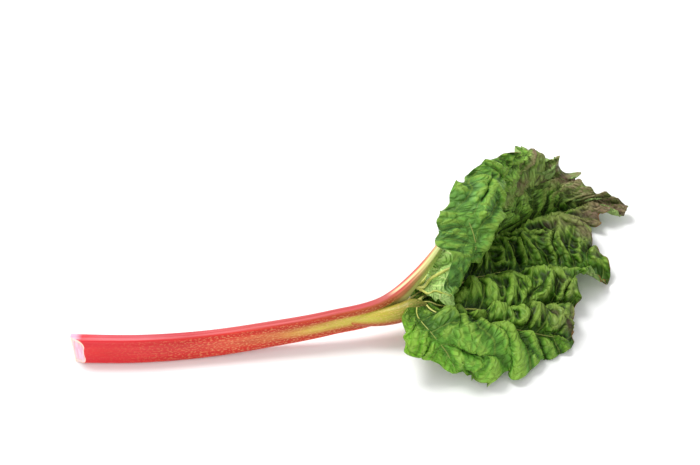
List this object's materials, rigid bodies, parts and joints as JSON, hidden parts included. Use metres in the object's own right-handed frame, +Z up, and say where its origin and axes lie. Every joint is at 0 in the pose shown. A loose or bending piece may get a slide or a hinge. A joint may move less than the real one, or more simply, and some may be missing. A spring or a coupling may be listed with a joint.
{
  "type": "rhubarb stalk",
  "caption": "Picked rhubarb stalk lying on its side: a long red leaf stalk, cut at the root end, with its folded, crinkled green leaf blade.",
  "frame": {"origin": "on the surface that the stalk lies on, under the middle of the object's box", "axes": "+X from the cut end towards the leaf, +Y away from the channel face of the stalk, +Z up"},
  "size_m": [0.5002, 0.2718, 0.093],
  "materials": {
    "stalk_skin": "smooth waxy plant skin, red turning yellow-green towards the leaf",
    "leaf_green": "soft crinkled leaf, satin upper side"
  },
  "bodies": {
    "root": {"stalk": "stalk_skin", "leaf_blade": "leaf_green"}
  },
  "joints": []
}
